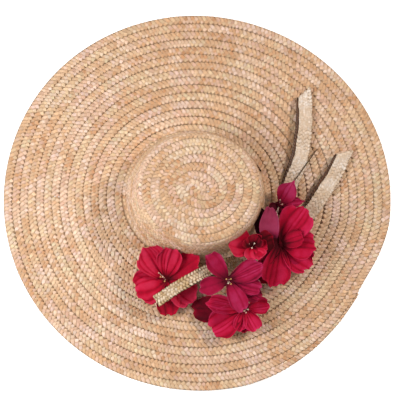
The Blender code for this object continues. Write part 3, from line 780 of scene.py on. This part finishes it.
def petal_shape(u, v, petal, form, heart_shade, rng):
    """Places of a petal's points about its root, and how light the cloth is there."""
    azimuth, length, width, root_slope, tip_slope, pleats, pleat_mm, ruffle_mm, tone_and_shade = petal
    azimuth, root_slope, tip_slope = (math.radians(value) for value in (azimuth, root_slope, tip_slope))
    length, width = length * PETAL_LENGTH, width * PETAL_WIDTH
    ahead = np.array([math.cos(azimuth), math.sin(azimuth), 0])
    side = np.array([-ahead[1], ahead[0], 0])
    up = np.array([0, 0, 1])
    start = rng.uniform(0, 2 * math.pi, 6)
    waves = 0.7 * np.sin(11 * v + start[1]) + 0.3 * np.sin(25 * v + start[2])
    scallop = 1 + 0.03 * np.sin(5 * v + start[0]) * u ** 3 + (0.006 + 0.012 * ruffle_mm) * waves * u ** 8
    reach = length * u * (1 - CORNER_ROUNDING * v * v * u * u) * scallop
    turn = (tip_slope - root_slope) * reach / length
    middle = root_slope + turn / 2
    half = width / 2 * petal_width(u, form) * (1 + 0.04 * np.sin(6 * u + start[2]) * np.sign(v))
    # pleats fan out from the root, and fade at the rim
    fan = np.pi * pleats / 2 * (v + 0.16 * np.sin(4 * v + start[3]) + 0.08 * np.sin(3 * u + start[4]))
    valley = (1 - np.abs(np.sin(fan + start[4]))) ** 2
    ridge = 0.5 - 1.5 * valley + 0.35 * np.cos(0.7 * fan + start[5])
    pleat = pleat_mm * MM * ridge * smooth(u / 0.25) * (1 - 0.7 * smooth((u - 0.75) / 0.25))
    ruffle = ruffle_mm * MM * np.sin(7 * v + start[5]) * u ** 4
    rim_side = smooth((np.abs(v) - 0.80) / 0.20) * smooth(u / 0.4)
    rim = np.maximum(smooth((u - 0.90) / 0.10), rim_side)
    curl = 1.2 * MM * rim * rim
    crumple = 0.5 * MM * np.sin(9 * u + 4 * v + start[0]) * np.sin(7 * v - 5 * u + start[1]) * u
    lift = CUPPING * v * v * half + pleat + ruffle + curl + crumple
    along = ahead * np.cos(middle)[:, None] + up * np.sin(middle)[:, None]
    normal = up * np.cos(root_slope + turn)[:, None] - ahead * np.sin(root_slope + turn)[:, None]
    points = along * reach[:, None] + side * (v * half)[:, None] + normal * lift[:, None]
    shown = min(pleat_mm / 0.6, 1) * smooth(u / 0.3)
    # how light the cloth is: its dye and painted shade, painted highlight on the pleats' ridges and painted
    # shade in their valleys, lighter at the rim and darker towards the root
    dye_and_shade = 0.42 + 0.17 * tone_and_shade + 0.22 * ridge * shown + 0.14 * rim - 0.48 * (1 - smooth(u / heart_shade))
    return points, dye_and_shade


def make_petal(name, root, petal, form, heart_shade, rng):
    cuts_along, cuts_across = PETAL_GRID
    bpy.ops.mesh.primitive_grid_add(x_subdivisions=cuts_along, y_subdivisions=cuts_across, size=2)
    sheet = bpy.context.object
    sheet.name = name
    mesh = sheet.data
    flat = np.empty(len(mesh.vertices) * 3)
    mesh.vertices.foreach_get("co", flat)
    flat = flat.reshape(-1, 3)
    points, dye_and_shade = petal_shape((flat[:, 0] + 1) / 2, flat[:, 1], petal, form, heart_shade, rng)
    mesh.vertices.foreach_set("co", (points + root).ravel())
    mesh.attributes.new("dye_and_shade", "FLOAT", "POINT").data.foreach_set("value", dye_and_shade.astype(np.float32))
    thickness = sheet.modifiers.new("cloth", "SOLIDIFY")
    thickness.thickness = CLOTH_THICKNESS
    thickness.offset = 0
    bpy.ops.object.modifier_apply(modifier=thickness.name)
    mesh.shade_smooth()
    return sheet


def make_calyx(name, root):
    """The gathered tube of cloth that the petals are bound to, and that is sewn down to the brim."""
    foot = float(brim_top(np.array(root[0]), np.array(root[1])))
    top = root[2] + 2.5 * MM
    middle = (root[0], root[1], (top + foot) / 2)
    bpy.ops.mesh.primitive_cone_add(vertices=40, radius1=CALYX_FOOT, radius2=CALYX_TOP * 0.7,
                                    depth=top - foot, location=middle)
    calyx = bpy.context.object
    calyx.name = name
    bpy.ops.object.transform_apply(location=True)
    bpy.ops.object.mode_set(mode="EDIT")
    bpy.ops.mesh.select_all(action="SELECT")
    bpy.ops.mesh.subdivide(number_cuts=2)
    bpy.ops.object.mode_set(mode="OBJECT")
    mesh = calyx.data
    points = np.empty(len(mesh.vertices) * 3)
    mesh.vertices.foreach_get("co", points)
    points = points.reshape(-1, 3)
    spoke = points[:, :2] - root[:2]
    gather = 0.07 * np.cos(10 * np.arctan2(spoke[:, 1], spoke[:, 0]))
    points[:, :2] += spoke * gather[:, None]
    mesh.vertices.foreach_set("co", points.ravel())
    # painted shade in the gathers: the folds pushed out are lighter, those drawn in darker
    dye_and_shade = (0.05 + gather).astype(np.float32)
    mesh.attributes.new("dye_and_shade", "FLOAT", "POINT").data.foreach_set("value", dye_and_shade)
    mesh.shade_smooth()
    return calyx


def join(pieces, name):
    """Joins pieces into one, each with its own place in its mesh."""
    bpy.ops.object.select_all(action="DESELECT")
    for piece in pieces:
        piece.select_set(True)
    bpy.context.view_layer.objects.active = pieces[0]
    bpy.ops.object.join()
    bpy.ops.object.transform_apply()
    joined = bpy.context.object
    joined.name = name
    joined.data.name = name
    bpy.ops.object.select_all(action="DESELECT")
    return joined


def flower_root(flower):
    degrees, share, height, _ = FLOWERS[flower]
    spot = brim_spot(np.array(float(degrees)), np.array(float(share)))
    spot[2] += SOLID_THICKNESS + CLEARANCE + height * FLOWER_HEIGHT
    return spot


def make_flower(flower, seed):
    rng = np.random.default_rng(seed)
    root = flower_root(flower)
    petals = FLOWERS[flower][3]
    form = PETAL_FORMS.get(flower, PETAL_FORM)
    pieces = [make_calyx(f"{flower}_calyx", root)]
    for index, petal in enumerate(petals):
        layer = np.array([0, 0, PETAL_LAYER * (index - len(petals) / 2)])
        sheet = make_petal(f"{flower}_petal_{index}", root + layer, petal, form, HEART_SHADE_REACH[flower], rng)
        pieces.append(sheet)
    made = join(pieces, f"{flower}_petals")
    dress(made, [CLOTHS[flower]], f"flower_{flower}")


def make_stamens(flower, rows):
    """Fine waxed threads, each with a lacquered seed on its end."""
    root = flower_root(flower)
    pieces = []
    for azimuth, reach, rise, shade in rows:
        lean = math.radians(azimuth)
        seed_place = Vector(root) + Vector((reach * math.cos(lean), reach * math.sin(lean), rise)) * MM
        bpy.ops.mesh.primitive_uv_sphere_add(segments=12, ring_count=8, radius=SEED_RADIUS,
                                             location=seed_place)
        seed_piece = bpy.context.object
        seed_piece.scale.z = 1.35
        seed_piece.data.materials.append(BEADS[shade])
        seed_piece.data.shade_smooth()
        pieces.append(seed_piece)
        stem = seed_place - Vector(root)
        bpy.ops.mesh.primitive_cylinder_add(vertices=6, radius=FILAMENT_RADIUS, depth=stem.length,
                                            location=Vector(root) + stem / 2)
        filament = bpy.context.object
        filament.rotation_euler = stem.to_track_quat("Z", "Y").to_euler()
        filament.data.materials.append(BEADS["pale"])
        pieces.append(filament)
    for piece in pieces:
        bpy.ops.object.select_all(action="DESELECT")
        piece.select_set(True)
        bpy.context.view_layer.objects.active = piece
        bpy.ops.object.transform_apply()
    dress(join(pieces, f"{flower}_stamens"), [], None)


# The stage

def make_stage():
    floor_size = 6
    bpy.ops.mesh.primitive_plane_add(size=floor_size, location=(0, 0, cad_box[0].z - 1.5 * MM))
    floor = bpy.context.object
    floor.name = "floor"
    made, tree, shader = new_material("white paper sweep")
    shader.inputs["Base Color"].default_value = (*linear("#FFFFFF"), 1)
    shader.inputs["Roughness"].default_value = 0.9
    shader.inputs["Emission Color"].default_value = (1, 1, 1, 1)
    shader.inputs["Emission Strength"].default_value = 0.6
    floor.data.materials.append(made)


def make_light(name, place, size, power, colour):
    lamp = bpy.data.lights.new(name, "AREA")
    lamp.shape = "DISK"
    lamp.size = size
    lamp.energy = power
    lamp.color = colour
    obj = bpy.data.objects.new(name, lamp)
    obj.location = place
    obj.rotation_euler = (-Vector(place)).to_track_quat("-Z", "Y").to_euler()
    bpy.context.scene.collection.objects.link(obj)


def make_camera():
    """Looks down at the hat from 9 degrees off straight above, with the hat's own +Y up the picture."""
    tilt = math.radians(9)
    lean = Vector((-0.496, -0.868, 0)).normalized()
    target = Vector((1.33 * MM, 0, 10 * MM))
    distance = 2.5
    view_height = 533.3 * MM
    back = lean * math.sin(tilt) + Vector((0, 0, math.cos(tilt)))
    up = (Vector((0, 1, 0)) - back * back.y).normalized()
    camera = bpy.data.cameras.new("camera")
    camera.sensor_width = 36
    camera.lens = camera.sensor_width * distance / view_height
    obj = bpy.data.objects.new("camera", camera)
    turn = Matrix((up.cross(back), up, back)).transposed()
    obj.matrix_world = Matrix.Translation(target + back * distance) @ turn.to_4x4()
    bpy.context.scene.collection.objects.link(obj)
    bpy.context.scene.camera = obj


def make_world():
    world = bpy.data.worlds.new("studio")
    world.use_nodes = True
    background = world.node_tree.nodes["Background"]
    background.inputs["Color"].default_value = (1, 1, 1, 1)
    background.inputs["Strength"].default_value = 0.35
    bpy.context.scene.world = world
    bpy.context.scene.view_settings.view_transform = "Standard"


make_camera()
make_world()
make_light("left", (-0.95, -0.15, 0.95), 0.7, 13.0, (0.98, 1.0, 1.06))
make_light("right", (1.8, 0.9, 2.3), 0.5, 37.5, (1.0, 0.86, 0.78))
make_stage()
make_rows()
make_tail("ribbon_tail_back", TAIL_BACK, 31)
make_tail("ribbon_tail_front", TAIL_FRONT, 32)
make_loop()
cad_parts["stem_wire"].material_slots[0].material = THREAD
for flower_seed, flower_name in enumerate(FLOWERS):
    make_flower(flower_name, 50 + flower_seed)
for flower_name, stamen_rows in STAMENS.items():
    make_stamens(flower_name, stamen_rows)
